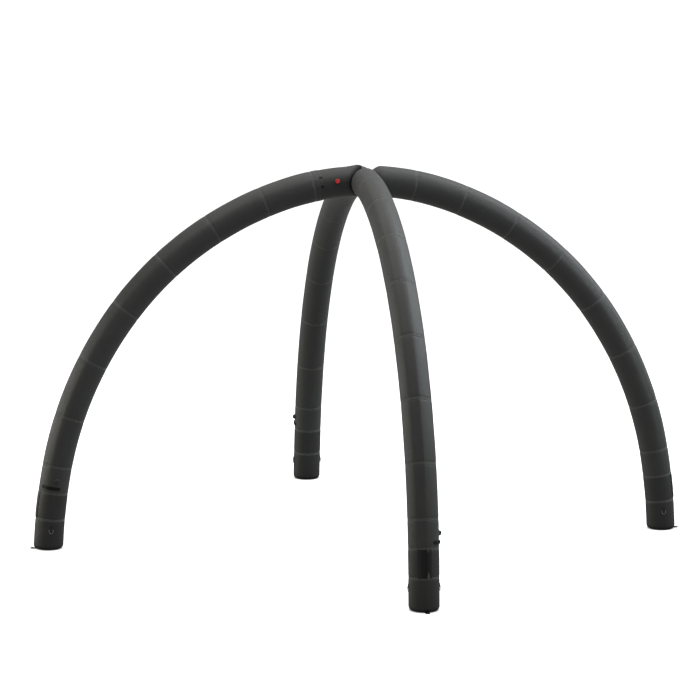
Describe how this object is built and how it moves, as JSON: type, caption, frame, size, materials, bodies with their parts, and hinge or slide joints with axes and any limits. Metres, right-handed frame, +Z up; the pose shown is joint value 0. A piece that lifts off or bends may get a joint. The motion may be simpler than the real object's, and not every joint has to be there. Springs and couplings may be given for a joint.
{
  "type": "inflatable tent frame",
  "caption": "Bare inflatable tent frame: curved charcoal air beams rise from flat feet and meet at a crown, with valves, handles, rings and floor loops, to hold up a canopy.",
  "frame": {"origin": "on the floor, straight under the crown where the beams meet", "axes": "+Z up, the beams along +X (right), +Y (back), -X (left) and -Y (front)"},
  "size_m": [5.7714, 5.7714, 3.2688],
  "materials": {
    "sleeve": "matt woven polyester",
    "boot": "matt coated cloth",
    "cuff": "matt woven polyester",
    "patch": "glossy coated cloth",
    "webbing": "ribbed webbing",
    "valve": "moulded",
    "cap": "moulded",
    "ring": "bright wire"
  },
  "bodies": {
    "root": {"right_foot_panel": "boot", "right_ankle_panel": "boot", "right_valve_panel": "sleeve", "right_sleeve_low": "sleeve", "right_sleeve_middle": "sleeve", "right_sleeve_crown": "sleeve", "right_valve": "valve", "right_handle": "webbing", "right_gloss_patch": "patch", "right_anchor_loop": "webbing", "right_ring_tab_a": "webbing", "right_ring_a": "ring", "right_ring_tab_b": "webbing", "right_ring_b": "ring", "back_foot_panel": "boot", "back_ankle_panel": "boot", "back_valve_panel": "sleeve", "back_sleeve_low": "sleeve", "back_sleeve_middle": "sleeve", "back_sleeve_crown": "sleeve", "back_valve": "valve", "back_handle": "webbing", "back_gloss_patch": "patch", "back_anchor_loop": "webbing", "back_ring_tab_a": "webbing", "back_ring_a": "ring", "back_ring_tab_b": "webbing", "back_ring_b": "ring", "left_foot_panel": "boot", "left_ankle_panel": "boot", "left_valve_panel": "sleeve", "left_sleeve_low": "sleeve", "left_sleeve_middle": "sleeve", "left_sleeve_crown": "sleeve", "left_valve": "valve", "left_handle": "webbing", "left_gloss_patch": "patch", "left_anchor_loop": "webbing", "left_ring_tab_a": "webbing", "left_ring_a": "ring", "left_ring_tab_b": "webbing", "left_ring_b": "ring", "front_foot_panel": "boot", "front_ankle_panel": "boot", "front_valve_panel": "sleeve", "front_sleeve_low": "sleeve", "front_sleeve_middle": "sleeve", "front_sleeve_crown": "sleeve", "front_valve": "valve", "front_handle": "webbing", "front_gloss_patch": "patch", "front_anchor_loop": "webbing", "front_ring_tab_a": "webbing", "front_ring_a": "ring", "front_ring_tab_b": "webbing", "front_ring_b": "ring", "left_crown_cuff": "cuff", "left_red_cap": "cap", "left_cuff_tab_1": "webbing", "left_cuff_tab_2": "webbing"}
  },
  "joints": []
}
